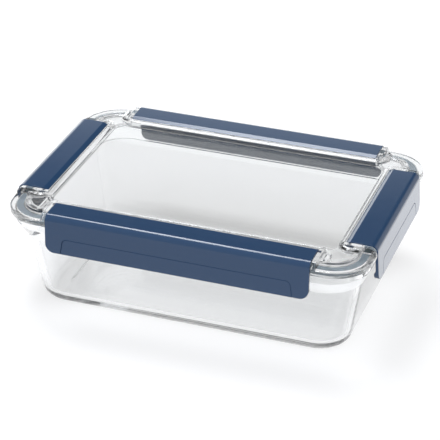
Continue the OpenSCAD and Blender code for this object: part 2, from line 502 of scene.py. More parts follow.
class Effect:
    """A node group that several finishes use."""

    FINE_DETAIL: ClassVar[float] = 4.0
    WAVE_SCALE: ClassVar[float] = 22.0
    PATCH_RANGE: ClassVar[tuple[float, float]] = (0.38, 0.7)
    STREAK_SCALE: ClassVar[float] = 90.0
    STREAK_STRETCH: ClassVar[Point] = (1, 0.12, 1)
    STREAK_RANGE: ClassVar[tuple[float, float]] = (0.5, 0.8)
    STREAK_SHARE: ClassVar[float] = 0.5
    EDGE_RANGE: ClassVar[tuple[float, float]] = (0.52, 0.6)
    BREAK_SCALE: ClassVar[float] = 140.0
    BREAK_RANGE: ClassVar[tuple[float, float]] = (0.42, 0.62)

    @staticmethod
    def new_group(
        name: str, inputs: dict[str, float], outputs: tuple[str, ...]
    ) -> tuple[bpy.types.NodeTree, bpy.types.Node, bpy.types.Node]:
        """Makes an empty node group.

        Args:
            name: Name of the group.
            inputs: Number sockets and their usual values.
            outputs: Names of the number sockets that the group puts out.

        Returns:
            The group, its input node and its output node.
        """
        tree = bpy.data.node_groups.new(name, "ShaderNodeTree")
        for key, value in inputs.items():
            socket = tree.interface.new_socket(key, in_out="INPUT", socket_type="NodeSocketFloat")
            socket.default_value = value
        for key in outputs:
            tree.interface.new_socket(key, in_out="OUTPUT", socket_type="NodeSocketFloat")
        return tree, tree.nodes.new("NodeGroupInput"), tree.nodes.new("NodeGroupOutput")

    @staticmethod
    def ranged(tree: bpy.types.NodeTree, source: Socket, low: float, high: float) -> Socket:
        """Spreads a value between two limits over 0 to 1.

        Args:
            tree: The node tree.
            source: Socket that gives the value.
            low: Value that becomes 0.
            high: Value that becomes 1.

        Returns:
            The socket with the spread value.
        """
        node = tree.nodes.new("ShaderNodeMapRange")
        node.inputs["From Min"].default_value = low
        node.inputs["From Max"].default_value = high
        tree.links.new(source, node.inputs["Value"])
        return node.outputs["Result"]

    @staticmethod
    def noise(
        tree: bpy.types.NodeTree, scale: float | Socket, detail: float, stretch: Point = (1, 1, 1)
    ) -> Socket:
        """Adds noise in the object's own coordinates.

        Args:
            tree: The node tree.
            scale: A number, or the socket that gives it.
            detail: How many finer layers the noise has.
            stretch: Scale of the coordinates along each axis.

        Returns:
            The socket with the noise.
        """
        coordinates = tree.nodes.new("ShaderNodeTexCoord")
        mapping = tree.nodes.new("ShaderNodeMapping")
        mapping.inputs["Scale"].default_value = stretch
        texture = tree.nodes.new("ShaderNodeTexNoise")
        texture.inputs["Detail"].default_value = detail
        tree.links.new(coordinates.outputs["Object"], mapping.inputs["Vector"])
        tree.links.new(mapping.outputs["Vector"], texture.inputs["Vector"])
        if isinstance(scale, (int, float)):
            texture.inputs["Scale"].default_value = scale
        else:
            tree.links.new(scale, texture.inputs["Scale"])
        return texture.outputs["Fac"]

    @staticmethod
    def sums(
        tree: bpy.types.NodeTree, operation: str, first: Socket, second: float | Socket
    ) -> Socket:
        """Adds a math node.

        Args:
            tree: The node tree.
            operation: The node's operation.
            first: A socket.
            second: A socket or a number.

        Returns:
            The socket with the result.
        """
        node = tree.nodes.new("ShaderNodeMath")
        node.operation = operation
        tree.links.new(first, node.inputs[0])
        if isinstance(second, (int, float)):
            node.inputs[1].default_value = second
        else:
            tree.links.new(second, node.inputs[1])
        return node.outputs[0]

    @classmethod
    def grain(cls) -> bpy.types.NodeTree:
        """Makes the fine texture of a moulded or pressed surface, as a height.

        Returns:
            The group.
        """
        inputs = {"Scale": 900.0, "Waviness": 0.3}
        tree, given, result = cls.new_group("moulded_grain", inputs, ("Height",))
        fine = cls.noise(tree, given.outputs["Scale"], cls.FINE_DETAIL)
        wave = cls.noise(tree, cls.WAVE_SCALE, 1.0)
        waved = cls.sums(tree, "MULTIPLY", wave, given.outputs["Waviness"])
        tree.links.new(cls.sums(tree, "ADD", fine, waved), result.inputs["Height"])
        return tree

    @classmethod
    def handling(cls) -> bpy.types.NodeTree:
        """Makes the haze that hands and washing leave: large soft patches and a few streaks.

        Returns:
            The group.
        """
        inputs = {"Scale": 26.0, "Base": 0.3, "Spread": 0.1}
        tree, given, result = cls.new_group("handling", inputs, ("Roughness",))
        patch = cls.ranged(tree, cls.noise(tree, given.outputs["Scale"], 3.0), *cls.PATCH_RANGE)
        lines = cls.noise(tree, cls.STREAK_SCALE, 2.0, cls.STREAK_STRETCH)
        streak = cls.ranged(tree, lines, *cls.STREAK_RANGE)
        faint = cls.sums(tree, "MULTIPLY", streak, cls.STREAK_SHARE)
        haze = cls.sums(tree, "ADD", patch, faint)
        spread = cls.sums(tree, "MULTIPLY", haze, given.outputs["Spread"])
        roughness = cls.sums(tree, "ADD", spread, given.outputs["Base"])
        tree.links.new(roughness, result.inputs["Roughness"])
        return tree

    @classmethod
    def edge_wear(cls) -> bpy.types.NodeTree:
        """Makes a mask of the raised edges, broken up where hands rub them least.

        Returns:
            The group.
        """
        tree, given, result = cls.new_group("edge_wear", {"Amount": 0.5}, ("Mask",))
        shape = tree.nodes.new("ShaderNodeNewGeometry")
        edge = cls.ranged(tree, shape.outputs["Pointiness"], *cls.EDGE_RANGE)
        gaps = cls.noise(tree, cls.BREAK_SCALE, cls.FINE_DETAIL)
        broken = cls.ranged(tree, gaps, *cls.BREAK_RANGE)
        worn = cls.sums(tree, "MULTIPLY", edge, broken)
        mask = cls.sums(tree, "MULTIPLY", worn, given.outputs["Amount"])
        tree.links.new(mask, result.inputs["Mask"])
        return tree


class EffectShelf:
    """Builds each shared effect once and places it in materials."""

    def __init__(self) -> None:
        """Builds the effects."""
        self.trees = {
            "grain": Effect.grain(),
            "handling": Effect.handling(),
            "edge_wear": Effect.edge_wear(),
        }

    def place(self, tree: bpy.types.NodeTree, effect: str, **values: float) -> Socket:
        """Places an effect in a material's node tree.

        Args:
            tree: The material's node tree.
            effect: Name of the effect.
            **values: Values for its inputs, with the input's name in lower case.

        Returns:
            The socket that the effect puts out.
        """
        node = tree.nodes.new("ShaderNodeGroup")
        node.node_tree = self.trees[effect]
        for key, value in values.items():
            node.inputs[key.capitalize()].default_value = value
        return node.outputs[0]

    def surface(self, shader: bpy.types.Node, finish: "Finish") -> None:
        """Gives a shader a finish's hazy roughness and its fine grain.

        Args:
            shader: The Principled shader.
            finish: The finish, with its roughness, haze and grain.
        """
        tree = shader.id_data
        haze = self.place(
            tree, "handling", scale=finish.haze_scale, base=finish.roughness, spread=finish.haze
        )
        tree.links.new(haze, shader.inputs["Roughness"])
        grain = self.place(tree, "grain", scale=finish.grain_scale, waviness=finish.waviness)
        bump = tree.nodes.new("ShaderNodeBump")
        bump.inputs["Strength"].default_value = finish.grain_strength
        bump.inputs["Distance"].default_value = finish.grain_height
        tree.links.new(grain, bump.inputs["Height"])
        tree.links.new(bump.outputs["Normal"], shader.inputs["Normal"])


# ---------------------------------------------------------------------------------------------
# Finishes
# ---------------------------------------------------------------------------------------------


def srgb(red: int, green: int, blue: int) -> Colour:
    """Turns a colour as seen, 0 to 255, into the linear colour that a shader takes.

    Args:
        red: Red as seen.
        green: Green as seen.
        blue: Blue as seen.

    Returns:
        The linear colour, with an alpha of 1.
    """
    linear = [
        c / 12.92 if c <= 0.04045 else ((c + 0.055) / 1.055) ** 2.4
        for c in (red / 255, green / 255, blue / 255)
    ]
    return (*linear, 1.0)


@dataclass(frozen=True, kw_only=True)
class Finish:
    """What every finish has: its haze and its grain."""

    name: str
    roughness: float
    haze: float
    haze_scale: float
    grain_scale: float
    grain_height: float
    waviness: float
    grain_strength: float

    def start(self) -> tuple[bpy.types.Material, bpy.types.Node]:
        """Makes the material with its plain shader.

        Returns:
            The material and its Principled shader.
        """
        material = bpy.data.materials.new(self.name)
        material.use_nodes = True
        return material, material.node_tree.nodes["Principled BSDF"]


@dataclass(frozen=True, kw_only=True)
class ClearFinish(Finish):
    """A see-through material: glass, or clear plastic."""

    tint: Colour
    ior: float
    shadow_tint: Colour = (0.965, 0.97, 0.972, 1.0)
    haze_scale: float = 18.0
    waviness: float = 1.0
    grain_strength: float = 0.25

    def build(self, shelf: EffectShelf) -> bpy.types.Material:
        """Makes the material.

        Args:
            shelf: The shared effects.

        Returns:
            The material, which lets part of the light from lamps through.
        """
        material, shader = self.start()
        tree = material.node_tree
        output = tree.nodes["Material Output"]
        shader.inputs["Base Color"].default_value = self.tint
        shader.inputs["IOR"].default_value = self.ior
        shader.inputs["Transmission Weight"].default_value = 1.0
        shelf.surface(shader, self)
        clear = tree.nodes.new("ShaderNodeBsdfTransparent")
        clear.inputs["Color"].default_value = self.shadow_tint
        path = tree.nodes.new("ShaderNodeLightPath")
        mix = tree.nodes.new("ShaderNodeMixShader")
        tree.links.new(path.outputs["Is Shadow Ray"], mix.inputs["Fac"])
        tree.links.new(shader.outputs["BSDF"], mix.inputs[1])
        tree.links.new(clear.outputs["BSDF"], mix.inputs[2])
        tree.links.new(mix.outputs["Shader"], output.inputs["Surface"])
        return material


@dataclass(frozen=True, kw_only=True)
class MouldedFinish(Finish):
    """An opaque or milky moulded material."""

    colour: Colour
    worn_colour: Colour
    wear: float
    transmission: float = 0.0
    haze_scale: float = 30.0
    waviness: float = 0.15
    grain_strength: float = 0.35

    def build(self, shelf: EffectShelf) -> bpy.types.Material:
        """Makes the material.

        Args:
            shelf: The shared effects.

        Returns:
            The material.
        """
        material, shader = self.start()
        tree = material.node_tree
        shader.inputs["Transmission Weight"].default_value = self.transmission
        wear = shelf.place(tree, "edge_wear", amount=self.wear)
        paint = tree.nodes.new("ShaderNodeMix")
        paint.data_type = "RGBA"
        paint.inputs["A"].default_value = self.colour
        paint.inputs["B"].default_value = self.worn_colour
        tree.links.new(wear, paint.inputs["Factor"])
        tree.links.new(paint.outputs["Result"], shader.inputs["Base Color"])
        shelf.surface(shader, self)
        return material


@dataclass(frozen=True)
class FinishSet:
    """Every finish of the container."""

    glass: ClearFinish = ClearFinish(
        name="pressed_glass",
        tint=(0.945, 0.951, 0.955, 1.0),
        ior=1.47,
        roughness=0.0,
        haze=0.02,
        grain_scale=120.0,
        grain_height=0.00002,
    )
    lid: ClearFinish = ClearFinish(
        name="clear_plastic",
        tint=(0.915, 0.92, 0.92, 1.0),
        ior=1.49,
        roughness=0.01,
        haze=0.03,
        grain_scale=260.0,
        grain_height=0.00001,
    )
    seal: MouldedFinish = MouldedFinish(
        name="clear_silicone",
        colour=srgb(178, 194, 206),
        worn_colour=srgb(206, 216, 222),
        roughness=0.38,
        haze=0.12,
        wear=0.3,
        grain_scale=1400.0,
        grain_height=0.00003,
        transmission=0.45,
    )
    latch: MouldedFinish = MouldedFinish(
        name="navy_plastic",
        colour=srgb(35, 62, 93),
        worn_colour=srgb(60, 86, 116),
        roughness=0.16,
        haze=0.02,
        wear=0.25,
        grain_scale=2600.0,
        grain_height=0.00002,
    )


# ---------------------------------------------------------------------------------------------
# The dish
# ---------------------------------------------------------------------------------------------


@dataclass(frozen=True)
class DishShape:
    """Sizes of the glass dish."""

    rim_edge: float = -0.0024
    rim_round: float = 0.0014
    rim_under: float = 0.0651
    rim_radius: float = 0.0284
    shoulder_edge: float = -0.0077
    shoulder_z: float = 0.0541
    shoulder_radius: float = 0.026
    wall_edge: float = -0.0086
    wall_foot_edge: float = -0.0175
    foot_bend: float = 0.009
    foot_radius: float = 0.023
    flat_radius: float = 0.0176
    mouth_edge: float = -0.0115
    mouth_radius: float = 0.0218
    floor_z: float = 0.005
    inner_shoulder_edge: float = -0.0128
    inner_foot_edge: float = -0.0214
    inner_bend: float = 0.0065
    inner_flat_radius: float = 0.0147
    recess_edge: float = -0.034
    recess_depth: float = 0.0008
    recess_slope: float = 0.003
    recess_radii: tuple[float, float, float, float] = (0.0145, 0.015, 0.0161, 0.0172)
    cap_margin: float = 0.001
    flat_margin: float = 0.0004
    small_bend: float = 0.0006
    wall_blend: float = 0.001
    shoulder_run: float = 0.0004
    shoulder_lean: float = 0.0003
    rim_turn: float = 0.0011
    lip_round: float = 0.0012
    lip_lean: float = 0.0001
    neck_depth: float = 0.01
    neck_lean: float = 0.0008
    neck_blend: float = 0.0002
    swell: float = 0.003
    inner_wall_radius: float = 0.0188


@dataclass
class Dish:
    """The pressed glass dish."""

    finish: bpy.types.Material
    shape: DishShape = field(default_factory=DishShape)
    piece: bpy.types.Object | None = None

    def outside(self) -> RingPath:
        """Follows the glass from the recess under the foot to the top of the rim.

        Returns:
            The path so far.
        """
        s = self.shape
        deep, edge, slope = s.recess_depth, s.recess_edge, s.recess_slope
        cap, low, middle, high = s.recess_radii
        wall, foot, bend = s.wall_edge, s.wall_foot_edge, s.foot_bend
        ledge, level, radius = s.shoulder_edge, s.shoulder_z, s.shoulder_radius
        rim, turn = s.rim_edge, s.rim_round
        lean = (wall - foot) / level
        path = RingPath(edge - slope - s.cap_margin, cap, deep)
        path.to(edge - slope, low, deep)
        path.round_to((edge - slope / 2, deep), edge, middle, deep / 2)
        path.round_to((edge + slope / 2, 0), edge + slope, high, 0)
        path.to(foot - bend - s.flat_margin, s.flat_radius - s.flat_margin / 2, 0)
        path.to(foot - bend, s.flat_radius, 0)
        path.round_to((foot, 0), foot + lean * bend, s.foot_radius, bend, 10)
        path.to(wall - lean * s.small_bend, radius - s.wall_blend, level - s.small_bend)
        path.round_to((wall, level), wall + s.shoulder_run, radius - s.wall_blend / 2, level, 4)
        path.round_to((ledge, level), ledge + s.shoulder_lean, radius, level + s.small_bend)
        path.to(rim - s.wall_blend / 2, s.rim_radius - s.shoulder_lean, s.rim_under - s.wall_blend)
        path.round_to((rim, s.rim_under), rim, s.rim_radius, s.rim_under + s.rim_turn)
        path.to(rim, s.rim_radius, DISH_TOP - turn)
        path.round_to((rim, DISH_TOP), rim - turn, s.rim_radius - turn, DISH_TOP, 6)
        return path

    def inside(self, path: RingPath) -> RingPath:
        """Carries the outline on over the rim and down to the inner floor.

        Args:
            path: The outside's path.

        Returns:
            The whole path.
        """
        s = self.shape
        shoulder, foot, bend = s.inner_shoulder_edge, s.inner_foot_edge, s.inner_bend
        mouth, radius, lip = s.mouth_edge, s.mouth_radius, s.lip_round
        lean = (shoulder - foot) / (s.shoulder_z - s.floor_z)
        path.to(mouth + lip, radius + lip, DISH_TOP)
        path.round_to((mouth, DISH_TOP), mouth - s.lip_lean, radius, DISH_TOP - lip)
        path.to(mouth - s.neck_lean, radius, DISH_TOP - s.neck_depth)
        path.round_to(
            (shoulder + lean * s.swell, s.shoulder_z + s.swell),
            shoulder - lean * 2 * s.swell,
            radius - s.neck_blend,
            s.shoulder_z - 2 * s.swell,
        )
        path.to(foot + lean * bend, s.inner_wall_radius, s.floor_z + bend)
        flat = foot - bend
        path.round_to((foot, s.floor_z), flat, s.inner_flat_radius, s.floor_z, 10)
        path.to(flat - s.small_bend, s.inner_flat_radius - s.flat_margin, s.floor_z)
        return path

    def build(self) -> bpy.types.Object:
        """Lofts the dish and gives it its glass.

        Returns:
            The dish.
        """
        rings = self.inside(self.outside()).rings
        self.piece = Workbench.loft("dish_glass", rings)
        Workbench.smooth(self.piece, angle=40)
        self.piece.data.materials.append(self.finish)
        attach(self.piece, "dish")
        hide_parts("glass_base")
        return self.piece


# ---------------------------------------------------------------------------------------------
# The lid and its seal
# ---------------------------------------------------------------------------------------------


@dataclass(frozen=True)
class LidShape:
    """Sizes of the clear lid."""

    flange_top: float = 0.0753
    corner_radius: float = 0.028
    edge_round: float = 0.0017
    deck_edge: float = -0.0105
    deck_top: float = 0.0768
    bead_width: float = 0.0042
    bead_rise: float = 0.0009
    panel_edge: float = -0.0251
    panel_top: float = 0.0758
    panel_radius: float = 0.013
    groove_out: float = -0.0043
    groove_in: float = -0.0099
    groove_top: float = 0.0737
    under_edge: float = -0.0119
    under_z: float = 0.0716
    under_slope: tuple[float, float] = (-0.0230, -0.0271)
    under_panel_z: float = 0.0738
    rail_out: float = -0.0229
    rail_width: float = 0.0038
    rail_curl: float = 0.009
    rail_past_latch: float = 0.0096
    rail_top: float = 0.0799
    rail_round: float = 0.0009
    rail_slope: float = 0.0019
    pocket_floor: float = 0.0736
    pocket_gap: float = 0.0004
    skirt_edge: float = -0.0024
    cheek_width: float = 0.0032
    cheek_edge: float = -0.0002
    cheek_bend: float = 0.005
    cheek_low: float = 0.07295
    cheek_round: float = 0.0006
    cheek_past_rail: float = 0.0012
    sink: float = 0.0005
    tiny_bend: float = 0.0004
    small_bend: float = 0.0005
    soft_bend: float = 0.0014
    bead_foot: float = 0.0008
    bead_ease: float = 0.0003
    bead_insets: tuple[float, float] = (0.0038, 0.0028)
    wall_lean: float = 0.0001
    wall_run: float = 0.0007
    deck_round: float = 0.0013
    under_widening: float = 0.002
    cut_margin: float = 0.001
    deck_gap: float = 0.0001
    skim: float = 0.00003
    end_skim: float = 0.00004
    pin_hole_radius: float = 0.00146
    pin_reach: float = 0.0024


@dataclass
class Lid:
    """The clear lid with its rails, cheeks, pockets and seal groove."""

    OUTLINE: ClassVar[float] = 1e-4

    finish: bpy.types.Material
    shape: LidShape = field(default_factory=LidShape)
    piece: bpy.types.Object | None = None

    def top_path(self) -> RingPath:
        """Follows the lid from the middle panel out to the flange's edge.

        Returns:
            The path so far.
        """
        s = self.shape
        panel, radius, panel_top = s.panel_edge, s.panel_radius, s.panel_top
        deck, top, flange = s.deck_edge, s.deck_top, s.flange_top
        foot, small, soft = s.bead_foot, s.small_bend, s.soft_bend
        first, last = s.bead_insets
        bead_in, bead_top = deck - s.bead_width, top + s.bead_rise
        deck_radius = s.corner_radius + deck
        path = RingPath(panel - soft, radius - soft, panel_top)
        path.to(panel - small, radius - small, panel_top)
        path.round_to((panel, panel_top), panel + s.wall_lean, radius, panel_top + small, 4)
        wall_top = (panel + 2 * s.wall_lean, top)
        path.round_to(wall_top, panel + s.wall_run, radius + s.tiny_bend, top, 4)
        path.to(bead_in - foot, deck_radius - s.bead_width, top)
        rise = bead_top - s.bead_ease
        path.round_to((bead_in, top), bead_in + small, deck_radius - first, rise, 4)
        path.round_to((bead_in + foot, bead_top), bead_in + soft, deck_radius - last, bead_top, 4)
        path.to(deck - soft, deck_radius - soft, bead_top)
        path.round_to((deck, bead_top), deck, deck_radius, bead_top - s.deck_round, 6)
        path.to(deck, deck_radius, flange + small)
        path.round_to((deck, flange), deck + small, deck_radius + small, flange, 4)
        turn = s.edge_round
        path.to(-turn, s.corner_radius - turn, flange)
        path.round_to((0, flange), 0, s.corner_radius, flange - turn, 7)
        return path

    def under_path(self, path: RingPath) -> RingPath:
        """Carries the outline on round the flange, the seal's groove and the underside.

        Args:
            path: The top's path.

        Returns:
            The whole path.
        """
        s = self.shape
        low = LID_LOW.z
        turn = s.edge_round
        corner = s.corner_radius
        path.to(0, corner, low + turn)
        path.round_to((0, low), -turn, corner - turn, low, 7)
        small = s.tiny_bend
        for edge, sign in ((s.groove_out, 1), (s.groove_in, -1)):
            inner = edge - sign * small
            outer = edge + sign * small
            first, last = (outer, inner) if sign > 0 else (inner, outer)
            heights = (low, s.groove_top) if sign > 0 else (s.groove_top, low)
            step = small if sign > 0 else -small
            path.to(first, corner + first, heights[0])
            path.round_to((edge, heights[0]), edge, corner + edge, heights[0] + step, 3)
            path.to(edge, corner + edge, heights[1] - step)
            path.round_to((edge, heights[1]), last, corner + last, heights[1], 3)
        under = s.under_edge
        path.to(under + small, corner + under + small, low)
        path.round_to((under, low), under, corner + under, low + small, 3)
        path.to(under, corner + under, s.under_z - small)
        path.round_to((under, s.under_z), under - small, corner + under - small, s.under_z, 3)
        start, end = s.under_slope
        reach = (start - end) / 2
        middle = (start - reach, (s.under_z + s.under_panel_z) / 2)
        radius = s.panel_radius + s.under_widening
        path.to(start + small, radius + small, s.under_z)
        path.round_to((start - reach / 2, s.under_z), middle[0], radius - reach, middle[1], 6)
        path.round_to((end + reach / 2, s.under_panel_z), end, radius - 2 * reach, s.under_panel_z, 6)
        path.to(end - small, radius - 2 * reach - small, s.under_panel_z)
        return path

    def rail(self, side: Side) -> bpy.types.Object:
        """Makes the rail that runs behind a latch and curls round its ends.

        Args:
            side: The side that the rail is for.

        Returns:
            The rail, on the right-hand side.
        """
        s = self.shape
        half = side.latch_length / 2 + s.rail_past_latch
        x0 = HALF_LENGTH + s.rail_out - s.rail_width
        x1 = HALF_LENGTH + s.deck_edge + 2 * s.rail_width
        z0 = s.pocket_floor - s.sink
        piece = Workbench.blank(f"rail_{side.name.lower()}")
        middle = ((x0 + x1) / 2, 0, z0)
        bpy.ops.mesh.primitive_plane_add(size=2, location=middle)
        bpy.ops.transform.resize(value=((x1 - x0) / 2, half, 1), center_override=middle)
        for sign in (-1, 1):
            self.pick_point(piece, x0, sign * half)
            bpy.ops.mesh.bevel(affect="VERTICES", offset=s.rail_curl, segments=12)
        bpy.ops.mesh.select_mode(type="FACE")
        bpy.ops.mesh.select_all(action="SELECT")
        bpy.ops.mesh.inset(thickness=s.rail_width)
        bpy.ops.mesh.delete(type="FACE")
        bpy.ops.mesh.select_all(action="SELECT")
        height = s.rail_top - z0
        bpy.ops.mesh.extrude_region_move(TRANSFORM_OT_translate={"value": (0, 0, height)})
        Workbench.mend()
        bpy.ops.mesh.select_mode(type="VERT")
        mesh = bmesh.from_edit_mesh(piece.data)
        for point in mesh.verts:
            is_top = point.co.z > s.rail_top - NEAR
            point.select_set(is_top and self.rail_depth(point.co, x0, x1, half) < self.OUTLINE)
        mesh.select_flush(True)
        bpy.ops.transform.translate(value=(0, 0, -s.rail_slope))
        floor = s.rail_top - s.rail_slope - NEAR
        Workbench.pick_edges(
            piece, lambda a, b: min(a.z, b.z) > floor and self.is_rim_edge(a, b, x0, x1, half)
        )
        Workbench.round_off(s.rail_round, 5)
        bpy.ops.mesh.select_all(action="SELECT")
        bpy.ops.mesh.bisect(
            plane_co=(HALF_LENGTH + s.deck_edge, 0, 0),
            plane_no=(1, 0, 0),
            use_fill=True,
            clear_outer=True,
        )
        Workbench.mend()
        Workbench.close()
        return piece

    @staticmethod
    def pick_point(piece: bpy.types.Object, x: float, y: float) -> None:
        """Selects the points of the open mesh that lie at one place in plan.

        Args:
            piece: The object whose mesh is open.
            x: The place's first coordinate.
            y: Its second coordinate.
        """
        bpy.ops.mesh.select_mode(type="VERT")
        bpy.ops.mesh.select_all(action="DESELECT")
        bpy.ops.object.mode_set(mode="OBJECT")
        for point in piece.data.vertices:
            point.select = math.hypot(point.co.x - x, point.co.y - y) < NEAR
        bpy.ops.object.mode_set(mode="EDIT")

    def rail_depth(self, p: Vector, x0: float, x1: float, half: float) -> float:
        """Measures how far inside a rail's outline a point lies.

        Args:
            p: The point.
            x0: Where the rail's outline starts, on the panel's side.
            x1: Where it ends.
            half: Half of its length.

        Returns:
            The distance, 0 on the outline that the rail turns to the panel.
        """
        s = self.shape
        cx = max(x0 + s.rail_curl, min(p.x, x1))
        cy = max(-half + s.rail_curl, min(p.y, half - s.rail_curl))
        if p.x < x0 + s.rail_curl and abs(p.y) > half - s.rail_curl:
            return s.rail_curl - math.hypot(p.x - cx, p.y - cy)
        return min(p.x - x0, half - abs(p.y), x1 - p.x)

    def is_rim_edge(self, a: Vector, b: Vector, x0: float, x1: float, half: float) -> bool:
        """Tells whether a top edge of a rail lies along one of its outlines.

        Args:
            a: One end of the edge.
            b: Its other end.
            x0: Where the rail's outline starts, on the panel's side.
            x1: Where it ends.
            half: Half of its length.

        Returns:
            False if the edge runs across from one outline to the other.
        """
        drift = self.rail_depth(a, x0, x1, half) - self.rail_depth(b, x0, x1, half)
        return abs(drift) < 2 * self.OUTLINE

    def cheek(self, side: Side, end: int) -> bpy.types.Object:
        """Makes a cheek that holds one of a latch's pins.

        Args:
            side: The side that the cheek is for.
            end: 1 or -1, for which end of the latch.

        Returns:
            The cheek, on the right-hand side.
        """
        s = self.shape
        top = s.rail_top
        bend = s.cheek_bend
        x_in = HALF_LENGTH + s.rail_out - s.cheek_past_rail
        x_out = HALF_LENGTH + s.cheek_edge
        x_deck = HALF_LENGTH + s.deck_edge - s.sink
        z_in = s.pocket_floor - s.sink
        pen = ProfilePen(f"cheek_{side.name.lower()}_{end}", x_in, z_in)
        pen.line(x_in, top).line(x_out - bend, top).arc(x_out - bend, top - bend, -90, 10)
        pen.line(x_out, s.cheek_low).line(x_deck, s.cheek_low).line(x_deck, z_in).line(x_in, z_in)
        piece = pen.push(s.cheek_width)
        Workbench.edit(piece)
        half = s.cheek_width / 2

        def is_outer(a: Vector, b: Vector) -> bool:
            """True for an edge of the cheek's two faces, but not at its inner end or underneath."""
            is_on_face = abs(a.y - b.y) < LEVEL
            return is_on_face and min(a.z, b.z) > s.cheek_low and max(a.x, b.x) > x_in + NEAR

        Workbench.pick_edges(piece, is_outer)
        Workbench.round_off(s.cheek_round, 4)
        bpy.ops.mesh.select_all(action="SELECT")
        place = end * (side.latch_length / 2 + s.pocket_gap + half)
        bpy.ops.transform.translate(value=(0, place, 0))
        Workbench.mend()
        Workbench.close()
        return piece

    def gather(
        self, name: str, make: Callable[[Side], list[bpy.types.Object]]
    ) -> bpy.types.Object:
        """Makes one shape a side, turns each to its side and joins them in one mesh.

        Args:
            name: Name of the joined shape.
            make: Makes the shapes of a side as if it were the right-hand one.

        Returns:
            The joined shape.
        """
        turned = []
        for side in Side:
            for piece in make(side):
                shift = side.reach - HALF_LENGTH
                turned.append(Workbench.turned_copy(piece, name, side, shift))
                bpy.data.objects.remove(piece)
        bpy.ops.object.select_all(action="DESELECT")
        for piece in turned:
            piece.select_set(True)
        bpy.context.view_layer.objects.active = turned[0]
        bpy.ops.object.join()
        return turned[0]

    def pocket(self, side: Side) -> bpy.types.Object:
        """Makes the stepped cutter for a side's pocket, its clearing and its cut in the skirt.

        Args:
            side: The side that the pocket is for.

        Returns:
            The cutter, on the right-hand side.
        """
        s = self.shape
        above = s.rail_top + s.cut_margin
        under = LID_LOW.z - s.cut_margin / 2
        wall = HALF_LENGTH + s.rail_out
        deck = HALF_LENGTH + s.deck_edge + s.deck_gap
        skirt = HALF_LENGTH + s.skirt_edge
        beyond = HALF_LENGTH + s.cut_margin
        clear = s.flange_top - s.skim
        pen = ProfilePen(f"pocket_{side.name.lower()}", wall, s.pocket_floor)
        pen.line(deck, s.pocket_floor).line(deck, clear).line(skirt, clear)
        pen.line(skirt, under).line(beyond, under)
        pen.line(beyond, above).line(wall, above).line(wall, s.pocket_floor)
        return pen.push(side.latch_length + 2 * s.pocket_gap - s.end_skim)

    def pin_hole(self, side: Side) -> list[bpy.types.Object]:
        """Makes the cutter for the two pin holes of a side."""
        s = self.shape
        return [Workbench.rod("pin_hole", s.pin_hole_radius, side.latch_length + 2 * s.pin_reach)]

    def build(self) -> bpy.types.Object:
        """Builds the lid: the plate, then its rails and cheeks, then the pockets and holes.

        Returns:
            The lid.
        """
        s = self.shape
        rings = self.under_path(self.top_path()).rings
        self.piece = Workbench.loft("lid_clear", rings)
        rails = self.gather("rails", lambda side: [self.rail(side)])
        Workbench.combine(self.piece, rails, "UNION")
        cheeks = self.gather("cheeks", lambda side: [self.cheek(side, end) for end in (-1, 1)])
        Workbench.combine(self.piece, cheeks, "UNION")
        pockets = self.gather("pockets", lambda side: [self.pocket(side)])
        Workbench.combine(self.piece, pockets, "DIFFERENCE")
        holes = self.gather("pin_holes", self.pin_hole)
        Workbench.combine(self.piece, holes, "DIFFERENCE")
        Workbench.edit(self.piece)
        Workbench.mend()
        Workbench.close()
        Workbench.smooth(self.piece, angle=34)
        self.piece.data.materials.clear()
        self.piece.data.materials.append(self.finish)
        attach(self.piece, "lid")
        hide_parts("lid")
        return self.piece


@dataclass(frozen=True)
class SealShape:
    """Sizes of the seal's section."""

    body_out: float = -0.00455
    body_in: float = -0.00965
    lip_out: float = -0.0059
    lip_in: float = -0.0083
    step_z: float = 0.07163
    corner_radius: float = 0.028
    turn: float = 0.0004


@dataclass
class Seal:
    """The silicone ring in the lid's groove."""

    finish: bpy.types.Material
    shape: SealShape = field(default_factory=SealShape)
    piece: bpy.types.Object | None = None

    def corners(self) -> list[tuple[float, float]]:
        """Gives the sharp corners of the section, as (out, z), round the body and its lip.

        Returns:
            The corners in order.
        """
        s = self.shape
        low, high = (p.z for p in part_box("gasket"))
        return [
            (s.lip_out, low),
            (s.lip_out, s.step_z),
            (s.body_out, s.step_z),
            (s.body_out, high),
            (s.body_in, high),
            (s.body_in, s.step_z),
            (s.lip_in, s.step_z),
            (s.lip_in, low),
        ]

    def build(self) -> bpy.types.Object:
        """Lofts the ring with every corner of its section rounded.

        Returns:
            The seal.
        """
        s = self.shape
        corners = self.corners()
        path: RingPath | None = None
        for place, (out, z) in enumerate(corners):
            before = Vector(corners[place - 1])
            after = Vector(corners[(place + 1) % len(corners)])
            here = Vector((out, z))
            start = here + (before - here).normalized() * s.turn
            end = here + (after - here).normalized() * s.turn
            if path is None:
                path = RingPath(start.x, s.corner_radius + start.x, start.y)
            else:
                path.to(start.x, s.corner_radius + start.x, start.y)
            path.round_to((out, z), end.x, s.corner_radius + end.x, end.y, 4)
        self.piece = Workbench.loft("seal_ring", path.rings, is_loop=True)
        Workbench.smooth(self.piece, angle=50)
        self.piece.data.materials.append(self.finish)
        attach(self.piece, "lid")
        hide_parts("gasket")
        return self.piece


# ---------------------------------------------------------------------------------------------
# The latches
# ---------------------------------------------------------------------------------------------


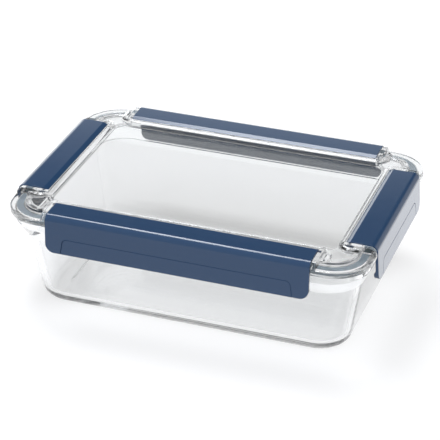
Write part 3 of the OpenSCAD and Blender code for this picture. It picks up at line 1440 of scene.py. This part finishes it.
@dataclass(frozen=True)
class LatchShape:
    """Sizes of a latch, which are the same on all sides but for its length."""

    barrel_radius: float = 0.003
    wall: float = 0.0021
    bend_radius: float = 0.005
    flap_out: float = 0.0003
    flare: float = 3.6
    hook_height: float = 0.0075
    hook_tip: float = -0.002
    hook_toe: float = 0.0012
    hook_heel: float = 0.0008
    hook_lean: float = 0.0005
    plate_start: float = 0.0003
    chamfer_angle: float = 150.0
    soft_edge: float = 0.00045
    soft_angle: float = 22.0
    corner_radius: float = 0.0065
    mask_in: float = 0.03
    mask_out: float = 0.01
    mask_above: float = 0.005
    grip_depth: float = 0.0006
    grip_width: float = 0.0016
    grip_height: float = 0.0118
    grip_end: float = 0.013
    grip_reach: float = 0.006
    grip_spread: float = 0.004
    grip_corner: float = 0.003
    pin_radius: float = 0.0014


@dataclass
class Latches:
    """The four hinged latches."""

    finish: bpy.types.Material
    shape: LatchShape = field(default_factory=LatchShape)
    pieces: list[bpy.types.Object] = field(default_factory=list)

    def bar(self, length: float) -> bpy.types.Object:
        """Draws a latch's side view and pushes it out to its length.

        Args:
            length: Length of the latch without its pins.

        Returns:
            The plain bar.
        """
        s = self.shape
        top, bottom = LATCH_HIGH.z, LATCH_LOW.z
        edge = HALF_LENGTH
        flare = math.radians(s.flare)
        bend_x = edge + s.flap_out - s.bend_radius
        bend_z = top - s.bend_radius
        hinge_x = edge - HINGE_IN
        inner = s.bend_radius - s.wall

        def flap_x(radius: float, z: float) -> float:
            """The flap's outer or inner face at a height, by its radius at the bend."""
            start = bend_x + radius * math.cos(flare)
            return start + math.tan(flare) * (bend_z - radius * math.sin(flare) - z)

        turn = math.asin((top - s.wall - HINGE_Z) / s.barrel_radius)
        tip = edge + s.hook_tip
        hook_top = bottom + s.hook_height
        pen = ProfilePen("latch_bar", hinge_x + s.plate_start, top)
        pen.line(bend_x, top)
        pen.arc(bend_x, bend_z, -90 - s.flare, 14)
        pen.line(flap_x(s.bend_radius, bottom), bottom)
        pen.line(tip + s.hook_toe, bottom)
        pen.line(tip, bottom + s.hook_toe)
        pen.line(tip, hook_top - 2 * s.hook_heel)
        pen.line(tip + s.hook_lean, hook_top - s.hook_heel)
        pen.line(flap_x(inner, hook_top), hook_top)
        pen.line(bend_x + inner * math.cos(flare), bend_z - inner * math.sin(flare))
        pen.arc(bend_x, bend_z, 90 + s.flare, 12)
        pen.line(hinge_x + s.barrel_radius * math.cos(turn), top - s.wall)
        sweep = math.degrees(turn) + 360 - s.chamfer_angle
        pen.arc(hinge_x, HINGE_Z, -sweep, 24)
        pen.line(hinge_x + s.plate_start, top)
        return pen.push(length)

    def corner_mask(self, length: float) -> bpy.types.Object:
        """Makes the block, round at its two lower corners, that crops the flap.

        Args:
            length: Length of the latch without its pins.

        Returns:
            The block.
        """
        s = self.shape
        low = Vector((HALF_LENGTH - s.mask_in, -length / 2, LATCH_LOW.z))
        high = Vector((HALF_LENGTH + s.mask_out, length / 2, LATCH_HIGH.z + s.mask_above))
        piece = Workbench.block("corner_mask", low, high)
        Workbench.pick_edges(
            piece, lambda a, b: max(a.z, b.z) < low.z + NEAR and abs(a.y - b.y) < LEVEL
        )
        Workbench.round_off(s.corner_radius, 12)
        Workbench.mend()
        Workbench.close()
        return piece

    def grip_cutter(self, length: float) -> bpy.types.Object:
        """Makes the cutter for the groove round the finger panel, a little wider at the bottom.

        Args:
            length: Length of the latch without its pins.

        Returns:
            The cutter.
        """
        s = self.shape
        flare = math.radians(s.flare)
        half = length / 2 - s.grip_end
        drop = LATCH_HIGH.z - s.bend_radius - LATCH_LOW.z - s.grip_height
        face_x = HALF_LENGTH + s.flap_out + math.tan(flare) * drop
        top = LATCH_LOW.z + s.grip_height
        low = Vector((face_x - s.grip_depth, -half, top - 2 * s.grip_height))
        high = Vector((face_x + s.grip_reach, half, top))
        piece = Workbench.block("grip_cutter", low, high)
        Workbench.pick_edges(piece, lambda a, b: max(a.z, b.z) < low.z + NEAR)
        spread = 1 + s.grip_spread / half
        bpy.ops.transform.resize(value=(1, spread, 1), center_override=(0, 0, 0))
        Workbench.pick_edges(
            piece, lambda a, b: min(a.z, b.z) > top - NEAR and abs(a.y - b.y) < LEVEL
        )
        Workbench.round_off(s.grip_corner, 8)
        bpy.ops.mesh.select_mode(type="FACE")
        mesh = bmesh.from_edit_mesh(piece.data)
        for face in mesh.faces:
            face.select_set(all(point.co.x < low.x + LEVEL for point in face.verts))
        bpy.ops.mesh.inset(thickness=s.grip_width)
        bpy.ops.transform.translate(value=(s.grip_width, 0, 0))
        Workbench.mend()
        bpy.ops.object.mode_set(mode="OBJECT")
        for point in piece.data.vertices:
            point.co.x += math.tan(flare) * (top - point.co.z)
        return piece

    def master(self, name: str, length: float) -> bpy.types.Object:
        """Makes a latch on the right-hand side.

        Args:
            name: Name of the piece.
            length: Length of the latch without its pins.

        Returns:
            The finished latch.
        """
        s = self.shape
        piece = self.bar(length)
        piece.name = piece.data.name = name
        Workbench.combine(piece, self.corner_mask(length), "INTERSECT")
        Workbench.edit(piece)
        Workbench.mend()
        Workbench.close()
        Workbench.apply(
            piece,
            "BEVEL",
            width=s.soft_edge,
            segments=3,
            limit_method="ANGLE",
            angle_limit=math.radians(s.soft_angle),
            use_clamp_overlap=True,
        )
        Workbench.combine(piece, self.grip_cutter(length), "DIFFERENCE")
        pins = Workbench.rod("pins", s.pin_radius, length + 2 * PIN_LENGTH)
        Workbench.combine(piece, pins, "UNION")
        Workbench.smooth(piece, angle=34)
        return piece

    def build(self) -> list[bpy.types.Object]:
        """Makes a long and a short latch, and copies each to its two sides.

        Returns:
            The four latches.
        """
        for is_long in (True, False):
            sides = [side for side in Side if side.is_long == is_long]
            master = self.master("latch_master", sides[0].latch_length)
            for side in sides:
                name = side.name.lower()
                shift = side.reach - HALF_LENGTH
                piece = Workbench.turned_copy(master, f"{name}_latch", side, shift)
                piece.data.materials.clear()
                piece.data.materials.append(self.finish)
                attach(piece, f"latch_{name}")
                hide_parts(f"latch_{name}")
                self.pieces.append(piece)
            bpy.data.objects.remove(master)
        return self.pieces


# ---------------------------------------------------------------------------------------------
# The studio
# ---------------------------------------------------------------------------------------------


@dataclass(frozen=True)
class SoftBox:
    """A rectangular studio lamp, as bright as a white card times its strength."""

    name: str
    place: Point
    aim: Point
    size: tuple[float, float]
    strength: float
    colour: Point = (1.0, 1.0, 1.0)
    is_mirrored: bool = True

    def build(self) -> bpy.types.Object:
        """Hangs the lamp, which shows in reflections only if it is mirrored.

        Returns:
            The lamp.
        """
        light = bpy.data.lights.new(self.name, "AREA")
        light.shape = "RECTANGLE"
        light.size, light.size_y = self.size
        light.energy = self.strength * math.pi * self.size[0] * self.size[1]
        light.color = self.colour
        lamp = bpy.data.objects.new(self.name, light)
        bpy.context.scene.collection.objects.link(lamp)
        lamp.visible_camera = False
        lamp.visible_transmission = False
        lamp.visible_glossy = self.is_mirrored
        lamp.location = self.place
        aim = Vector(self.aim) - Vector(self.place)
        lamp.rotation_euler = aim.to_track_quat("-Z", "Y").to_euler()
        return lamp


@dataclass
class Studio:
    """The pale floor, the soft lights and the camera."""

    lamps: tuple[SoftBox, ...] = (
        SoftBox("key_box", (-0.38, 0.36, 1.24), (0.0, 0.0, 0.05), (0.4, 0.62), 13.5, (0.93, 0.955, 1.0)),
        SoftBox("front_fill", (0.4, -1.7, 0.7), (0.0, 0.0, 0.05), (1.1, 0.9), 5.0, is_mirrored=False),
        SoftBox("back_strip", (-0.75, 1.3, 0.1), (0.0, 0.0, 0.08), (1.2, 0.2), 2.5, (0.95, 0.98, 1.0)),
        SoftBox("side_card", (0.27, 0.24, 0.002), (0.27, 0.24, 1.0), (0.24, 0.56), 1.0),
        SoftBox("back_card", (-0.25, 0.62, 0.2), (-0.25, 0.0, 0.2), (0.7, 0.4), 0.7, (0.9, 0.97, 1.0)),
    )
    azimuth: float = 19.72
    elevation: float = 29.48
    distance: float = 1.3135
    target: Point = (0.01962, -0.05489, 0.0795)
    lens: float = 157.88
    sensor: float = 36.0
    view_reach: float = 50.0
    floor_colour: Colour = (0.43, 0.42, 0.41, 1.0)
    floor_radius: float = 6.0
    floor_roughness: float = 0.9
    floor_specular: float = 0.1
    floor_drop: float = 0.0003
    floor_glow: float = 0.62
    floor_fade: tuple[float, float] = (0.75, 1.7)
    backdrop: tuple[tuple[float, float], ...] = (
        (0.40, 1.0),
        (0.435, 0.06),
        (0.66, 0.06),
        (0.74, 0.25),
    )
    front_colour: Colour = (0.62, 0.67, 0.76, 1.0)
    front_blend: float = 0.15
    seen_greys: tuple[tuple[str, float], ...] = (
        ("Is Transmission Ray", 0.85),
        ("Is Camera Ray", 1.0),
    )
    bounces: int = 48
    clear_bounces: int = 24

    def floor(self) -> bpy.types.Object:
        """Lays a pale floor that keeps the object's shadow, and turns white far away.

        Returns:
            The floor.
        """
        bpy.ops.object.select_all(action="DESELECT")
        place = (0, 0, -self.floor_drop)
        bpy.ops.mesh.primitive_circle_add(
            vertices=96, radius=self.floor_radius, fill_type="NGON", location=place
        )
        bpy.ops.object.transform_apply(location=True, rotation=False, scale=False)
        floor = bpy.context.object
        floor.name = "studio_floor"
        material = bpy.data.materials.new("pale_floor")
        material.use_nodes = True
        tree = material.node_tree
        shader = tree.nodes["Principled BSDF"]
        shader.inputs["Base Color"].default_value = self.floor_colour
        shader.inputs["Roughness"].default_value = self.floor_roughness
        shader.inputs["Specular IOR Level"].default_value = self.floor_specular
        path = tree.nodes.new("ShaderNodeLightPath")
        seen = Effect.sums(
            tree, "MAXIMUM", path.outputs["Is Camera Ray"], path.outputs["Is Glossy Ray"]
        )
        seen = Effect.sums(tree, "MAXIMUM", seen, path.outputs["Is Transmission Ray"])
        shader.inputs["Emission Color"].default_value = (1, 1, 1, 1)
        glow = Effect.sums(tree, "MULTIPLY", seen, self.floor_glow)
        coordinates = tree.nodes.new("ShaderNodeTexCoord")
        distance = tree.nodes.new("ShaderNodeVectorMath")
        distance.operation = "LENGTH"
        tree.links.new(coordinates.outputs["Object"], distance.inputs[0])
        far = Effect.ranged(tree, distance.outputs["Value"], *self.floor_fade)
        far = Effect.sums(tree, "MULTIPLY", far, path.outputs["Is Camera Ray"])
        strength = Effect.sums(tree, "MAXIMUM", glow, far)
        tree.links.new(strength, shader.inputs["Emission Strength"])
        floor.data.materials.append(material)
        return floor

    def world(self) -> None:
        """Surrounds the scene with a white backdrop that darkens above it."""
        world = bpy.data.worlds.new("studio")
        bpy.context.scene.world = world
        world.use_nodes = True
        tree = world.node_tree
        room = tree.nodes["Background"]
        output = tree.nodes["World Output"]
        coordinates = tree.nodes.new("ShaderNodeTexCoord")
        split = tree.nodes.new("ShaderNodeSeparateXYZ")
        ramp = tree.nodes.new("ShaderNodeValToRGB")
        tree.links.new(coordinates.outputs["Generated"], split.inputs["Vector"])
        tree.links.new(split.outputs["Z"], ramp.inputs["Fac"])
        while len(ramp.color_ramp.elements) < len(self.backdrop):
            ramp.color_ramp.elements.new(0.5)
        for element, (place, grey) in zip(ramp.color_ramp.elements, self.backdrop):
            element.position = place
            element.color = (grey, grey, grey, 1.0)
        side = Effect.ranged(tree, split.outputs["Y"], -self.front_blend, self.front_blend)
        blend = tree.nodes.new("ShaderNodeMix")
        blend.data_type = "RGBA"
        blend.inputs["A"].default_value = self.front_colour
        tree.links.new(side, blend.inputs["Factor"])
        tree.links.new(ramp.outputs["Color"], blend.inputs["B"])
        tree.links.new(blend.outputs["Result"], room.inputs["Color"])
        path = tree.nodes.new("ShaderNodeLightPath")
        surface = room.outputs["Background"]
        for ray, grey in self.seen_greys:
            seen = tree.nodes.new("ShaderNodeBackground")
            seen.inputs["Color"].default_value = (grey, grey, grey, 1.0)
            mix = tree.nodes.new("ShaderNodeMixShader")
            tree.links.new(path.outputs[ray], mix.inputs["Fac"])
            tree.links.new(surface, mix.inputs[1])
            tree.links.new(seen.outputs["Background"], mix.inputs[2])
            surface = mix.outputs["Shader"]
        tree.links.new(surface, output.inputs["Surface"])

    def camera(self) -> bpy.types.Object:
        """Sets the camera at its place, aimed at the container.

        Returns:
            The camera.
        """
        a, e = math.radians(self.azimuth), math.radians(self.elevation)
        back = Vector((math.sin(a) * math.cos(e), -math.cos(a) * math.cos(e), math.sin(e)))
        data = bpy.data.cameras.new("camera")
        data.lens = self.lens
        data.sensor_width = self.sensor
        data.clip_end = self.view_reach
        camera = bpy.data.objects.new("camera", data)
        bpy.context.scene.collection.objects.link(camera)
        camera.location = Vector(self.target) + back * self.distance
        camera.rotation_euler = (-back).to_track_quat("-Z", "Y").to_euler()
        bpy.context.scene.camera = camera
        return camera

    def build(self) -> None:
        """Sets up the whole studio."""
        self.floor()
        self.world()
        self.camera()
        for lamp in self.lamps:
            lamp.build()
        scene = bpy.context.scene
        scene.view_settings.view_transform = "Standard"
        scene.cycles.max_bounces = self.bounces
        scene.cycles.glossy_bounces = self.bounces
        scene.cycles.transmission_bounces = self.bounces
        scene.cycles.transparent_max_bounces = self.clear_bounces
        scene.cycles.caustics_refractive = False
        scene.cycles.caustics_reflective = False


def main() -> None:
    """Builds the container and its studio, and reports each piece."""
    shelf = EffectShelf()
    finishes = FinishSet()
    dish = Dish(finishes.glass.build(shelf))
    lid = Lid(finishes.lid.build(shelf))
    seal = Seal(finishes.seal.build(shelf))
    latches = Latches(finishes.latch.build(shelf))
    pieces = [dish.build(), lid.build(), seal.build(), *latches.build()]
    for piece in pieces:
        log.info("%s: %d faces", piece.name, len(piece.data.polygons))
    Studio().build()


if __name__ == "__main__":
    main()
